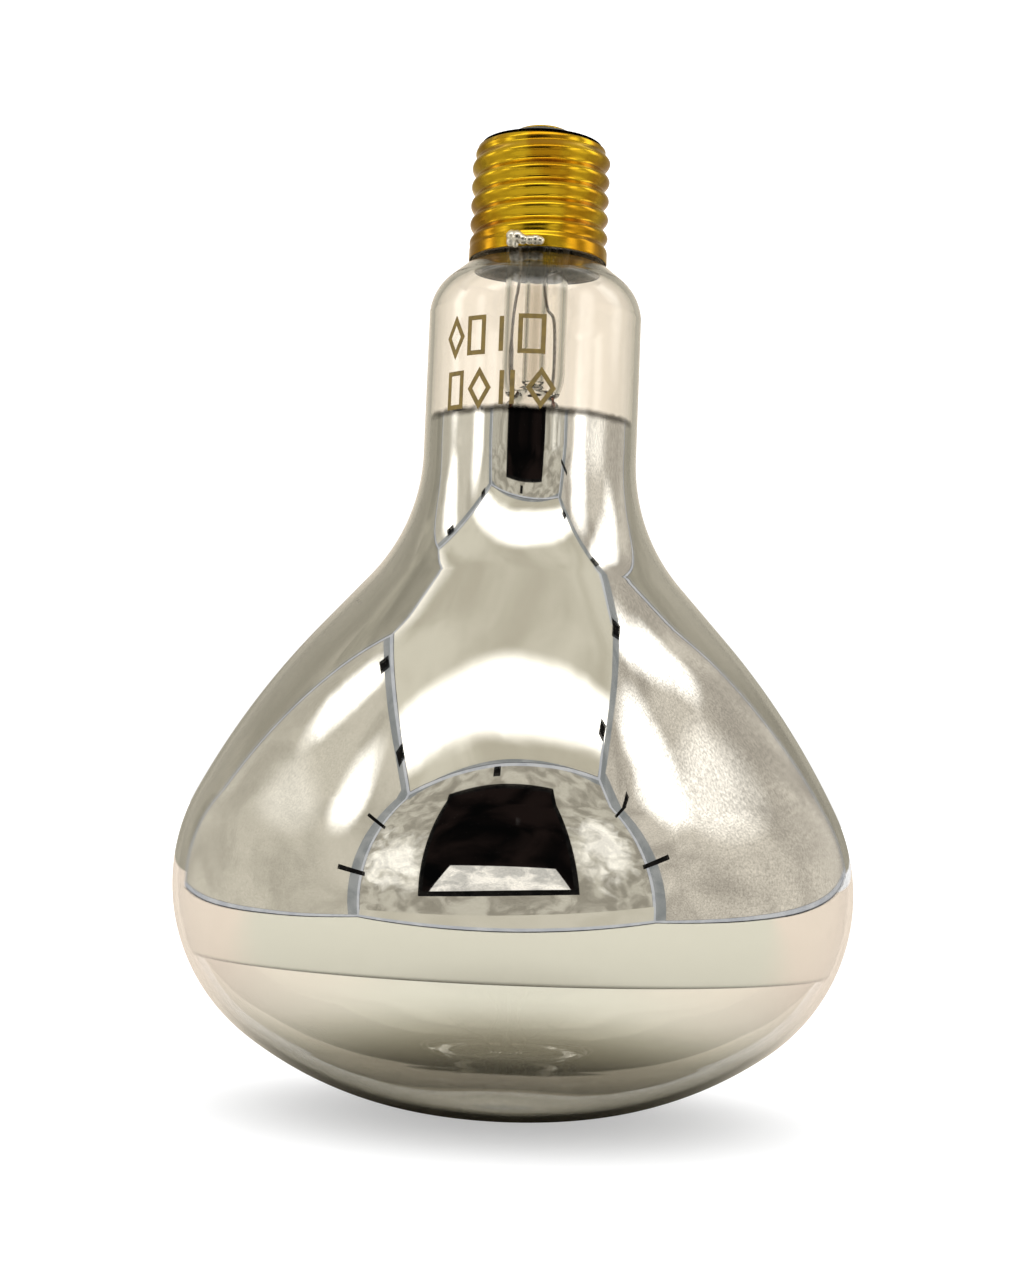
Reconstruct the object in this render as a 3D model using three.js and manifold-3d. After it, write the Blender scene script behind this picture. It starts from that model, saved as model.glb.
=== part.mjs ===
// A large reflector lamp, standing on its dome with its screw cap up: a blown glass bulb with a mirror
// coating inside, a glass stem that holds the leads and the filament, and an E27 brass screw cap.
// Millimetres, +Z up along the lamp's axis. The origin is the lowest point of the dome.
import * as THREE from "three";
import { mergeVertices } from "three/addons/utils/BufferGeometryUtils.js";
import Module from "manifold-3d";

const wasm = await Module();
wasm.setup();

// Driving dimensions of the bulb.
const BULB_RADIUS = 62.5;
const NECK_RADIUS = 20.05;
const GLASS = 1.0; // wall of the bulb and of the stem
const POLE_FLAT = 7; // radius of the flat spot that the lamp stands on
const FACE_RADIUS = 69.9; // front of the dome
const FACE_END = 36.1; // headings in degrees: 0 runs outwards, 90 straight up, over 90 back inwards
const CORNER_END = 116.6;
const FLANK_RADIUS = 142;
const FLANK_END = 131.8;
const FLANK_RUN = 12.7; // straight length between the flank and the throat
const SHOULDER_START = 147.9; // height where the straight neck ends
const SHOULDER_RADIUS = 9.5;
const SHOULDER_END = 140;
const NECK_END_RADIUS = 10.9; // the narrow end of the bulb that sits inside the cap
const NECK_END_TOP = 167;
const SEGMENTS = 32; // sides of the large round pieces

// Driving dimensions of the mirror coating.
const COATING_LOW = 28.5;
const COATING_HIGH = 128.8;
const COATING = 0.3;
const GAP = 0.3; // between pieces that touch on the real lamp

// Driving dimensions of the E27 cap.
const CAP_RIM = 159;
const THREAD_CREST = 13.1;
const THREAD_ROOT = 12.15;
const THREAD_PITCH = 3.629;
const THREAD_START = 162.1; // the thread fades in above the plain skirt
const THREAD_END = 180.4;
const THREAD_PHASE = 14.2; // height above the rim of one crest at the lamp's -X side
const SHELL_WALL = 0.35;
const SHELL_TOP = 181.6;
const SHELL_MOUTH = 9.6; // the hole in the shell's top that the insulator fills
const CONTACT_RADIUS = 5;
const CONTACT_TOP = 184.6;
const LAMP_TOP = 185.4;

// Driving dimensions of the stem.
const STEM_RADIUS = 6.35;
const STEM_BOTTOM = 133.6;
const PINCH_TOP = 133.3;
const PINCH_BOTTOM = 125;
const PINCH_WIDTH = 10.6;
const PINCH_THICKNESS = 5;
const EXHAUST_RADIUS = 2.2;
const EXHAUST_TOP = 175;
const LEAD_SPREAD = 3.8; // from the axis to each lead where it enters the pinch
const ARBOR_BOTTOM = 92;
const ARBOR_RADIUS = 1.6;
const BUTTON_RADIUS = 3.2;

// Driving dimensions of the filament and what carries it.
const FILAMENT_HEIGHT = 72;
const FILAMENT_RING = 13;
const FILAMENT_RADIUS = 0.9;
const FILAMENT_GAP = 36; // degrees left open between the filament's two ends
const SUPPORTS = 5;
const DEFLECTOR_HEIGHT = 118;
const DEFLECTOR_RADIUS = 17.2;
const DEFLECTOR_THICKNESS = 0.4;
const CLAMP_WIDTH = 1.4;
const CLAMP_HEIGHT = 4;

// Radii of the wires.
const LEAD_RADIUS = 0.35;
const SIDE_LEAD_RADIUS = 0.15; // thin enough to pass between the neck and the cap
const SEAL_RADIUS = 0.4;
const INNER_LEAD_RADIUS = 0.5;
const SUPPORT_RADIUS = 0.25;

const LOOKS = {
  brass: { color: 0xc9a227, roughness: 0.28, metalness: 1 },
  solder: { color: 0xb9b7ac, roughness: 0.38, metalness: 1 },
  vitrite: { color: 0x17130f, roughness: 0.25, metalness: 0 },
  cement: { color: 0xc8b48c, roughness: 0.9, metalness: 0 },
  glass: { color: 0xded9cf, roughness: 0.05, metalness: 0, transparent: true, opacity: 0.35 },
  mirror: { color: 0xbeb9ae, roughness: 0.06, metalness: 1 },
  copper: { color: 0x8a4b32, roughness: 0.4, metalness: 1 },
  nickel: { color: 0x8c8a86, roughness: 0.35, metalness: 1 },
  ceramic: { color: 0xe6e2d8, roughness: 0.6, metalness: 0 },
  tungsten: { color: 0x55565a, roughness: 0.5, metalness: 1 },
};

const lamp = new THREE.Group();

function add(name, look, geometry) {
  const mesh = new THREE.Mesh(geometry, new THREE.MeshStandardMaterial(LOOKS[look]));
  mesh.name = name;
  lamp.add(mesh);
  return mesh;
}

const radians = THREE.MathUtils.degToRad;

// --- Outlines -----------------------------------------------------------------------------------------

// An outline in the half-plane r, z, drawn as a chain of straight runs and tangent arcs. Each of its
// points keeps the outward normal, so the same outline serves for the inside of a wall.
class Outline {
  constructor(r, z, heading) {
    this.r = r;
    this.z = z;
    this.heading = heading;
    this.points = [];
    this.mark();
  }

  mark() {
    const angle = radians(this.heading);
    this.points.push({ r: this.r, z: this.z, nr: Math.sin(angle), nz: -Math.cos(angle) });
  }

  run(length) {
    this.r += length * Math.cos(radians(this.heading));
    this.z += length * Math.sin(radians(this.heading));
    this.mark();
    return this;
  }

  arc(radius, end, steps) {
    const start = this.heading;
    const bend = end > start ? radius : -radius;
    const r = this.r - bend * Math.sin(radians(start));
    const z = this.z + bend * Math.cos(radians(start));
    for (let i = 1; i <= steps; i++) {
      this.heading = start + ((end - start) * i) / steps;
      this.r = r + bend * Math.sin(radians(this.heading));
      this.z = z - bend * Math.cos(radians(this.heading));
      this.mark();
    }
    return this;
  }

  // The outline moved inwards by depth, as pairs of r and z.
  inset(depth) {
    return this.points.map((p) => [Math.max(p.r - depth * p.nr, 0), p.z - depth * p.nz]);
  }
}

// The bulb's outer face, from the pole of the dome to the end of the neck.
function bulbOutline() {
  const line = new Outline(0, 0, 0);
  line.run(POLE_FLAT).arc(FACE_RADIUS, FACE_END, 4);
  const corner = (BULB_RADIUS - line.r) / (1 - Math.sin(radians(FACE_END)));
  line.arc(corner, 90, 5).arc(corner, CORNER_END, 3).arc(FLANK_RADIUS, FLANK_END, 3).run(FLANK_RUN);
  const throat = (line.r - NECK_RADIUS) / (1 - Math.sin(radians(FLANK_END)));
  line.arc(throat, 90, 4);
  line.run(SHOULDER_START - line.z).arc(SHOULDER_RADIUS, SHOULDER_END, 4);
  const bend = 3;
  const bendWidth = bend * (1 - Math.sin(radians(SHOULDER_END)));
  line.run((NECK_END_RADIUS + bendWidth - line.r) / Math.cos(radians(SHOULDER_END)));
  line.arc(bend, 90, 2);
  return line.run(NECK_END_TOP - line.z);
}

// The part of a line of [r, z] pairs between two heights, with its ends cut at those heights.
function between(line, low, high) {
  const at = (height) => {
    const i = line.findIndex(([, z], k) => k > 0 && z >= height && line[k - 1][1] < height);
    const [[r0, z0], [r1, z1]] = [line[i - 1], line[i]];
    return [r0 + ((r1 - r0) * (height - z0)) / (z1 - z0), height];
  };
  return [at(low), ...line.filter(([, z]) => z > low && z < high), at(high)];
}

// --- Solids -------------------------------------------------------------------------------------------

// Turns [r, z] pairs about the lamp's axis. They run anticlockwise seen with r to the right and z up.
function turned(pairs, segments = SEGMENTS) {
  const profile = pairs.map(([r, z]) => new THREE.Vector2(r, z));
  return new THREE.LatheGeometry(profile, segments).rotateX(Math.PI / 2);
}

function ring(pairs, segments) {
  return turned([...pairs, pairs[0]], segments);
}

function plate(shape, bottom, top, curveSegments = 5) {
  const options = { depth: top - bottom, bevelEnabled: false, curveSegments };
  return new THREE.ExtrudeGeometry(shape, options).translate(0, 0, bottom);
}

function circle(radius, x = 0, y = 0) {
  return new THREE.Path().absarc(x, y, radius, 0, 2 * Math.PI);
}

function roundedBar(width, thickness) {
  const half = thickness / 2;
  const reach = width / 2 - half;
  return new THREE.Shape()
    .absarc(reach, 0, half, -Math.PI / 2, Math.PI / 2)
    .absarc(-reach, 0, half, Math.PI / 2, 1.5 * Math.PI);
}

// A wire of round section along a smooth curve through [x, y, z] points.
function wire(points, radius, steps, sides = 6) {
  const path = new THREE.CatmullRomCurve3(points.map((p) => new THREE.Vector3(...p)));
  return swept(path, radius, steps, sides);
}

function swept(path, radius, steps, sides) {
  const section = new THREE.Shape().absarc(0, 0, radius, 0, 2 * Math.PI);
  return new THREE.ExtrudeGeometry(section, { steps, curveSegments: sides / 2, extrudePath: path });
}

function solidOf(geometry) {
  const bare = new THREE.BufferGeometry();
  bare.setAttribute("position", geometry.getAttribute("position"));
  bare.setIndex(geometry.index);
  const merged = mergeVertices(bare, 1e-4);
  return new wasm.Manifold(
    new wasm.Mesh({
      numProp: 3,
      vertProperties: merged.attributes.position.array,
      triVerts: new Uint32Array(merged.index.array),
    }),
  );
}

function cut(geometry, tool) {
  const { vertProperties, triVerts } = solidOf(geometry).subtract(solidOf(tool)).getMesh();
  return new THREE.BufferGeometry()
    .setAttribute("position", new THREE.BufferAttribute(vertProperties, 3))
    .setIndex(new THREE.BufferAttribute(triVerts, 1));
}

// --- Bulb ---------------------------------------------------------------------------------------------

const outline = bulbOutline();
const outer = outline.inset(0);
const inner = outline.inset(GLASS);
add("glass_envelope", "glass", turned([...outer, ...inner.reverse()]));

const coatingFace = between(outline.inset(GLASS + GAP), COATING_LOW, COATING_HIGH);
const coatingBack = between(outline.inset(GLASS + GAP + COATING), COATING_LOW, COATING_HIGH);
add("reflector_coating", "mirror", ring([...coatingFace, ...coatingBack.reverse()]));

// --- Cap ----------------------------------------------------------------------------------------------

// How far the rolled thread stands at a height and an angle: 1 on a crest and 0 in a root. It fades
// out towards the plain skirt below and the shoulder above.
function threadDepth(height, angle) {
  const turns = (height - CAP_RIM - THREAD_PHASE) / THREAD_PITCH - (angle - Math.PI) / (2 * Math.PI);
  return 0.5 + 0.5 * Math.cos(2 * Math.PI * turns);
}

function shellRadius(height, angle) {
  const depth = THREAD_CREST - THREAD_ROOT;
  const skirt = 1 - THREE.MathUtils.smoothstep(height, THREAD_START - 1.2, THREAD_START + 1.2);
  const shoulder = THREE.MathUtils.smoothstep(height, THREAD_END - 1.5, THREAD_END + 0.5);
  const thread = THREAD_ROOT + depth * threadDepth(height, angle) * (1 - shoulder);
  return THREE.MathUtils.lerp(thread, THREAD_CREST, skirt);
}

// The shell is turned as a plain cup and its wall is then moved out and in along the thread.
function capShell() {
  const rows = 28;
  const wall = [];
  for (let i = 0; i <= rows; i++) {
    wall.push(THREE.MathUtils.lerp(CAP_RIM, THREAD_END + 0.5, i / rows));
  }
  const outside = wall.map((z) => [THREAD_CREST, z]);
  const inside = wall.map((z) => [THREAD_CREST - SHELL_WALL, z]).reverse();
  const top = [
    [THREAD_ROOT - 0.8, SHELL_TOP],
    [SHELL_MOUTH, SHELL_TOP],
    [SHELL_MOUTH, SHELL_TOP - SHELL_WALL],
    [THREAD_ROOT - 1, SHELL_TOP - SHELL_WALL],
  ];
  const geometry = ring([...outside, ...top, ...inside], 24);
  const position = geometry.getAttribute("position");
  for (let i = 0; i < position.count; i++) {
    const [x, y, z] = [position.getX(i), position.getY(i), position.getZ(i)];
    const radius = Math.hypot(x, y);
    if (radius < THREAD_ROOT) continue;
    const wanted = shellRadius(z, Math.atan2(y, x)) - (THREAD_CREST - radius);
    position.setXY(i, (x * wanted) / radius, (y * wanted) / radius);
  }
  return geometry;
}

add("cap_shell", "brass", capShell());

const insulatorSeat = SHELL_TOP - SHELL_WALL - GAP;
add(
  "cap_insulator",
  "vitrite",
  ring(
    [
      [1.2, insulatorSeat - 2],
      [THREAD_ROOT - 1.4, insulatorSeat - 2],
      [THREAD_ROOT - 1.4, insulatorSeat],
      [SHELL_MOUTH - GAP, insulatorSeat],
      [SHELL_MOUTH - GAP, SHELL_TOP + 0.2],
      [CONTACT_RADIUS + 1.2, CONTACT_TOP - 0.9],
      [1.2, CONTACT_TOP - 0.9],
    ],
    28,
  ),
);

add(
  "centre_contact",
  "brass",
  ring(
    [
      [0.8, CONTACT_TOP - 0.6],
      [CONTACT_RADIUS, CONTACT_TOP - 0.6],
      [CONTACT_RADIUS, CONTACT_TOP - 0.25],
      [CONTACT_RADIUS - 0.5, CONTACT_TOP],
      [0.8, CONTACT_TOP],
    ],
    28,
  ),
);

add(
  "contact_solder",
  "solder",
  turned(
    [
      [0, CONTACT_TOP + 0.05],
      [2.5, CONTACT_TOP + 0.05],
      [2.2, CONTACT_TOP + 0.5],
      [1.6, LAMP_TOP],
      [0, LAMP_TOP],
    ],
    16,
  ),
);

// The lump of solder that joins the side lead to the skirt, a little to the left of the front.
const SIDE_ANGLE = -102;
const sideSolder = new THREE.SphereGeometry(1, 12, 8).scale(0.8, 3.4, 1.4);
sideSolder.translate(THREAD_CREST + 1.1, 0, CAP_RIM + 1.6).rotateZ(radians(SIDE_ANGLE));
add("side_solder", "solder", sideSolder);

// The cement fills the wedge between the narrowing bulb and the skirt, and the gap above it.
const CEMENT_LOW = CAP_RIM + 0.4;
const CEMENT_HIGH = CAP_RIM + 7.4;
const cementOut = THREAD_ROOT - SHELL_WALL - 0.05;
const skirtInside = THREAD_CREST - SHELL_WALL - GAP;
const cementRing = ring(
  [
    [NECK_END_RADIUS + 1.3, CEMENT_LOW],
    [skirtInside, CEMENT_LOW],
    [skirtInside, CAP_RIM + 1.9],
    [cementOut, CAP_RIM + 2.6],
    [cementOut, CEMENT_HIGH],
    [NECK_END_RADIUS + GAP, CEMENT_HIGH],
    [NECK_END_RADIUS + GAP, CAP_RIM + 2.6],
    [NECK_END_RADIUS + 0.6, CAP_RIM + 1.3],
  ],
  SEGMENTS,
);
const leadSlot = new THREE.BoxGeometry(4, 1.4, 8).translate(NECK_END_RADIUS + 0.5, 0, 164);
add("basing_cement", "cement", cut(cementRing, leadSlot.rotateZ(radians(SIDE_ANGLE))));

// --- Stem ---------------------------------------------------------------------------------------------

const stemInner = STEM_RADIUS - GLASS;
add(
  "stem_flare",
  "glass",
  ring(
    [
      [STEM_RADIUS - 1.9, STEM_BOTTOM],
      [STEM_RADIUS - 1.05, STEM_BOTTOM],
      [STEM_RADIUS - 0.45, STEM_BOTTOM + 1.6],
      [STEM_RADIUS, STEM_BOTTOM + 4.2],
      [STEM_RADIUS, 157],
      [STEM_RADIUS + 0.6, 161],
      [STEM_RADIUS + 2, 165],
      [NECK_END_RADIUS - GLASS - GAP, NECK_END_TOP + GAP],
      [NECK_END_RADIUS, NECK_END_TOP + GAP],
      [NECK_END_RADIUS, NECK_END_TOP + GAP + 0.9],
      [NECK_END_RADIUS - GLASS - 1, NECK_END_TOP + GAP + 0.9],
      [stemInner + 1.8, 165.5],
      [stemInner + 0.6, 161.5],
      [stemInner, 157],
      [stemInner, STEM_BOTTOM + 4.5],
      [stemInner - 0.4, STEM_BOTTOM + 1.8],
    ],
    24,
  ),
);

add(
  "exhaust_tube",
  "glass",
  turned(
    [
      [0, EXHAUST_TOP],
      [1.4, EXHAUST_TOP - 3],
      [1.4, PINCH_TOP + GAP],
      [EXHAUST_RADIUS, PINCH_TOP + GAP],
      [EXHAUST_RADIUS, EXHAUST_TOP - 3],
      [1, EXHAUST_TOP + 0.6],
      [0, EXHAUST_TOP + 1],
    ],
    12,
  ),
);

const pinch = roundedBar(PINCH_WIDTH, PINCH_THICKNESS);
for (const x of [-LEAD_SPREAD, LEAD_SPREAD]) pinch.holes.push(circle(SEAL_RADIUS + GAP, x));
add("stem_pinch", "glass", plate(pinch, PINCH_BOTTOM, PINCH_TOP));

const arborTop = PINCH_BOTTOM - GAP;
add(
  "arbor_rod",
  "glass",
  turned(
    [
      [0, ARBOR_BOTTOM],
      [ARBOR_RADIUS, ARBOR_BOTTOM],
      [ARBOR_RADIUS, arborTop],
      [0, arborTop],
    ],
    12,
  ),
);
const buttonTop = ARBOR_BOTTOM - GAP;
add(
  "arbor_button",
  "glass",
  turned(
    [
      [0, buttonTop - 4.4],
      [BUTTON_RADIUS * 0.7, buttonTop - 4.2],
      [BUTTON_RADIUS, buttonTop - 2.8],
      [BUTTON_RADIUS, buttonTop - 1.6],
      [BUTTON_RADIUS * 0.7, buttonTop - 0.2],
      [0, buttonTop],
    ],
    12,
  ),
);

// --- Leads --------------------------------------------------------------------------------------------

const sideX = Math.cos(radians(SIDE_ANGLE));
const sideY = Math.sin(radians(SIDE_ANGLE));
const alongSide = (r, z) => [r * sideX, r * sideY, z];
const leadStart = PINCH_TOP + 0.5;

// The outer lead to the centre contact has a fuse under a glass sleeve, so it is in two lengths.
const FUSE_LOW = 158.5;
const FUSE_HIGH = 164.5;
const FUSE_X = 3.6;
add(
  "centre_lead_lower",
  "nickel",
  wire(
    [
      [LEAD_SPREAD - 0.2, 0, leadStart],
      [LEAD_SPREAD - 0.6, -0.8, 142],
      [LEAD_SPREAD - 1.6, -1.6, 147.5],
      [3, -1.4, 151],
      [FUSE_X, 0, FUSE_LOW - GAP],
    ],
    LEAD_RADIUS,
    14,
  ),
);
add(
  "fuse_sleeve",
  "ceramic",
  ring(
    [
      [0.7, FUSE_LOW],
      [1.1, FUSE_LOW],
      [1.1, FUSE_HIGH],
      [0.7, FUSE_HIGH],
    ],
    10,
  ).translate(FUSE_X, 0, 0),
);
add(
  "centre_lead_upper",
  "copper",
  wire(
    [
      [FUSE_X, 0, FUSE_LOW + 0.4],
      [FUSE_X, 0, FUSE_HIGH],
      [3.4, 0, 171],
      [1.6, 0, 177.6],
      [0, 0, 180.5],
      [0, 0, CONTACT_TOP - 0.1],
    ],
    LEAD_RADIUS,
    16,
  ),
);

// The outer lead to the side runs over the neck's end, down beside it and up round the rim.
add(
  "side_lead",
  "copper",
  wire(
    [
      [-LEAD_SPREAD, 0, leadStart],
      [-LEAD_SPREAD, -0.2, 143],
      [-3.4, -1.2, 154],
      [-3.2, -3, 160],
      alongSide(5.8, 166.6),
      alongSide(9, 170.2),
      alongSide(11.2, 169.6),
      alongSide(11.35, 166),
      alongSide(11.35, 162.5),
    ],
    SIDE_LEAD_RADIUS,
    30,
  ),
);

for (const [side, x] of [
  ["left", -LEAD_SPREAD],
  ["right", LEAD_SPREAD],
]) {
  const rod = turned(
    [
      [0, PINCH_BOTTOM - 0.6],
      [SEAL_RADIUS, PINCH_BOTTOM - 0.6],
      [SEAL_RADIUS, PINCH_TOP + 0.2],
      [0, PINCH_TOP + 0.2],
    ],
    8,
  );
  add("seal_wire_" + side, "copper", rod.translate(x, 0, 0));
}

// --- Filament mount -----------------------------------------------------------------------------------

// The filament is an arc about the axis, open towards -Y where the two inner leads meet its ends.
const gapHalf = radians(FILAMENT_GAP / 2);
const onRing = (angle, radius, z) => [radius * Math.cos(angle), radius * Math.sin(angle), z];
const ringStart = -Math.PI / 2 + gapHalf;
const ringSweep = 2 * Math.PI - 2 * gapHalf;

class RingArc extends THREE.Curve {
  getPoint(t, target = new THREE.Vector3()) {
    return target.set(...onRing(ringStart + ringSweep * t, FILAMENT_RING, FILAMENT_HEIGHT));
  }
}
add("filament", "tungsten", swept(new RingArc(), FILAMENT_RADIUS, 36, 6));

for (const [side, sign] of [
  ["left", -1],
  ["right", 1],
]) {
  const angle = sign > 0 ? ringStart - 0.14 : ringStart + ringSweep + 0.14;
  const [endX, endY] = onRing(angle, FILAMENT_RING, 0);
  const clampTop = FILAMENT_HEIGHT + CLAMP_HEIGHT / 2;
  add(
    "inner_lead_" + side,
    "nickel",
    wire(
      [
        [sign * LEAD_SPREAD, 0, PINCH_BOTTOM - 1],
        [sign * LEAD_SPREAD, 0, 116],
        [sign * 5, -3, 100],
        [endX * 1.1, endY * 0.85, 84],
        [endX, endY, clampTop + 0.1],
      ],
      INNER_LEAD_RADIUS,
      16,
    ),
  );
  const clamp = new THREE.BoxGeometry(CLAMP_WIDTH, CLAMP_WIDTH, CLAMP_HEIGHT);
  clamp.translate(endX, endY, clampTop - CLAMP_HEIGHT / 2 - 0.2);
  add("filament_clamp_" + side, "nickel", clamp);
}

const supportTop = buttonTop - 2.2;
for (let i = 0; i < SUPPORTS; i++) {
  const angle = ringStart + (ringSweep * (i + 1)) / (SUPPORTS + 1);
  add(
    "filament_support_" + (i + 1),
    "tungsten",
    wire(
      [
        onRing(angle, BUTTON_RADIUS + GAP, supportTop),
        onRing(angle, 8, supportTop - 1),
        onRing(angle, FILAMENT_RING, 78),
        onRing(angle, FILAMENT_RING, FILAMENT_HEIGHT + FILAMENT_RADIUS + 0.35),
      ],
      SUPPORT_RADIUS,
      12,
    ),
  );
}

const disc = new THREE.Shape().absarc(0, 0, DEFLECTOR_RADIUS, 0, 2 * Math.PI);
disc.holes.push(circle(ARBOR_RADIUS + 0.4));
for (const x of [-LEAD_SPREAD, LEAD_SPREAD]) disc.holes.push(circle(1, x, -0.1));
add("heat_deflector", "mirror", plate(disc, DEFLECTOR_HEIGHT, DEFLECTOR_HEIGHT + DEFLECTOR_THICKNESS, 12));

export default lamp;
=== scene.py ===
"""A large reflector lamp standing on its dome with its screw cap up, inside a small photo tent.

The lamp is built round its axis with +Z up and the origin at the lowest point of the dome. Lengths in
this file are millimetres; MM turns them into Blender's metres where a mesh is made. The tent, the
floor and the dark room in front of the tent are staging: they are what the mirror shows.
"""

import math

import bmesh
import bpy
from mathutils import Matrix, Vector, noise

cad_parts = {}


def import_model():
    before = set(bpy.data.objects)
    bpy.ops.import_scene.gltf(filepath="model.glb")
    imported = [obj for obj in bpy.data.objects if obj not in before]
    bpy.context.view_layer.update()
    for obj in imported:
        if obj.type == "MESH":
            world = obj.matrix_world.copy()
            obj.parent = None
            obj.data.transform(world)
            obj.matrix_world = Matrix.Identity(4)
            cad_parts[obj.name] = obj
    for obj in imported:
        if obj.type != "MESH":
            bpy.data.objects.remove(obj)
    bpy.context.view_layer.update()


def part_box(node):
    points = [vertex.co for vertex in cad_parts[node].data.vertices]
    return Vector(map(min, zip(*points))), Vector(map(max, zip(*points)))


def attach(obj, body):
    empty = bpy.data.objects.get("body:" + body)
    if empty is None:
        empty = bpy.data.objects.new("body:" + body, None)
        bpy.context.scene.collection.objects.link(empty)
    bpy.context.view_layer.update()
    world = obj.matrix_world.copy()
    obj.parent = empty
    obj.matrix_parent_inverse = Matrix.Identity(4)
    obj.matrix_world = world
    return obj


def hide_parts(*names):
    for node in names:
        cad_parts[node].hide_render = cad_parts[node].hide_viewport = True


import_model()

MM = 0.001


def low(node):
    """The lowest corner of a CAD node, in millimetres."""
    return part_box(node)[0] / MM


def high(node):
    """The highest corner of a CAD node, in millimetres."""
    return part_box(node)[1] / MM


# --- Sizes ---

# The bulb's outline, as headings in degrees (0 runs outwards, 90 straight up, over 90 back inwards)
# and the radii of the arcs between them.
BULB_RADIUS = high("glass_envelope").x
NECK_RADIUS = 20.05
GLASS = 1.0
POLE_FLAT = 7
FACE_RADIUS, FACE_END = 69.9, 36.1
CORNER_END = 116.6
FLANK_RADIUS, FLANK_END = 142, 131.8
FLANK_RUN = 12.7  # straight length between the flank and the throat
SHOULDER_START = 147.9
SHOULDER_RADIUS, SHOULDER_END = 9.5, 140
NECK_END_RADIUS = 10.9
NECK_END_TOP = high("glass_envelope").z
ROUND = 192  # sides of the large round pieces

COATING_LOW = low("reflector_coating").z
COATING_HIGH = high("reflector_coating").z
FILM_GAP = 0.03  # from the glass to the mirror film
FILM = 0.04

CAP_RIM = low("cap_shell").z
THREAD_CREST = high("cap_shell").x
THREAD_ROOT = THREAD_CREST - 0.95
THREAD_PITCH = 3.629
THREAD_START = CAP_RIM + 3.1
THREAD_END = CAP_RIM + 21.4
THREAD_PHASE = 14.2  # height above the rim of one crest at the lamp's -X side
SHELL_WALL = 0.3
SHELL_TOP = high("cap_shell").z
SHELL_MOUTH = 9.6
CONTACT_RADIUS = high("centre_contact").x
CONTACT_TOP = high("centre_contact").z
SIDE_ANGLE = math.radians(-102)  # where the side solder sits

STEM_RADIUS = 6.35
STEM_BOTTOM = low("stem_flare").z
FLARE_START = 157
PINCH_TOP = high("stem_pinch").z
PINCH_BOTTOM = low("stem_pinch").z
LEAD_SPREAD = 3.8
FUSE_X = 3.6
FUSE_LOW = low("fuse_sleeve").z
FUSE_HIGH = high("fuse_sleeve").z

ARBOR_BOTTOM = low("arbor_rod").z
BUTTON_TOP = high("arbor_button").z
BUTTON_RADIUS = high("arbor_button").x
FILAMENT_HEIGHT = 72
FILAMENT_RING = 13
FILAMENT_GAP = math.radians(36)
COIL_RADIUS = 0.75
SUPPORTS = 5
DEFLECTOR_BOTTOM = low("heat_deflector").z
DEFLECTOR_RADIUS = high("heat_deflector").x


# --- Outlines ---


class Outline:
    """A chain of straight runs and tangent arcs in the half-plane r, z, each point with its normal."""

    def __init__(self, r, z, heading=0.0):
        self.r, self.z, self.heading = r, z, heading
        self.points = []
        self.mark()

    def mark(self):
        angle = math.radians(self.heading)
        self.points.append((self.r, self.z, math.sin(angle), -math.cos(angle)))

    def run(self, length, steps=1):
        for _ in range(steps):
            self.r += length / steps * math.cos(math.radians(self.heading))
            self.z += length / steps * math.sin(math.radians(self.heading))
            self.mark()
        return self

    def arc(self, radius, end, steps):
        start = self.heading
        bend = radius if end > start else -radius
        r = self.r - bend * math.sin(math.radians(start))
        z = self.z + bend * math.cos(math.radians(start))
        for i in range(1, steps + 1):
            self.heading = start + (end - start) * i / steps
            self.r = r + bend * math.sin(math.radians(self.heading))
            self.z = z - bend * math.cos(math.radians(self.heading))
            self.mark()
        return self

    def inset(self, depth):
        """The outline moved inwards by depth, as pairs of r and z."""
        return [(max(r - depth * nr, 0), z - depth * nz) for r, z, nr, nz in self.points]


def rise(heading):
    return 1 - math.sin(math.radians(heading))


def bulb_outline():
    """The bulb's outer face, from the pole of the dome to the end of the neck."""
    line = Outline(0, 0)
    line.run(POLE_FLAT, 4).arc(FACE_RADIUS, FACE_END, 36)
    corner = (BULB_RADIUS - line.r) / rise(FACE_END)
    line.arc(corner, 90, 40).arc(corner, CORNER_END, 24)
    line.arc(FLANK_RADIUS, FLANK_END, 26).run(FLANK_RUN, 8)
    throat = (line.r - NECK_RADIUS) / rise(FLANK_END)
    line.arc(throat, 90, 36)
    line.run(SHOULDER_START - line.z, 12).arc(SHOULDER_RADIUS, SHOULDER_END, 22)
    bend = 3
    slope_end = NECK_END_RADIUS + bend * rise(SHOULDER_END)
    line.run((slope_end - line.r) / math.cos(math.radians(SHOULDER_END)), 4)
    line.arc(bend, 90, 12)
    return line.run(NECK_END_TOP - line.z, 6)


BULB = bulb_outline()


def between(pairs, bottom, top):
    """The part of a line of (r, z) pairs between two heights, cut at those heights."""

    def at(height):
        for (r0, z0), (r1, z1) in zip(pairs, pairs[1:]):
            if z0 < height <= z1:
                return (r0 + (r1 - r0) * (height - z0) / (z1 - z0), height)

    return [at(bottom), *[p for p in pairs if bottom < p[1] < top], at(top)]


def surface_radius(height, outset):
    """The bulb's radius at a height, outset from its outer face."""
    return between(BULB.inset(-outset), height, height + 1)[0][0]


def smoothstep(x, a, b):
    t = min(max((x - a) / (b - a), 0), 1)
    return t * t * (3 - 2 * t)


# --- Mesh builders ---


def linked(name, data):
    """A new object in the scene."""
    made = bpy.data.objects.new(name, data)
    bpy.context.scene.collection.objects.link(made)
    return made


def mesh_object(name, vertices, faces):
    """A smooth mesh, from vertices in millimetres."""
    mesh = bpy.data.meshes.new(name)
    mesh.from_pydata([Vector(v) * MM for v in vertices], [], faces)
    mesh.polygons.foreach_set("use_smooth", [True] * len(mesh.polygons))
    return linked(name, mesh)


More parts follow.
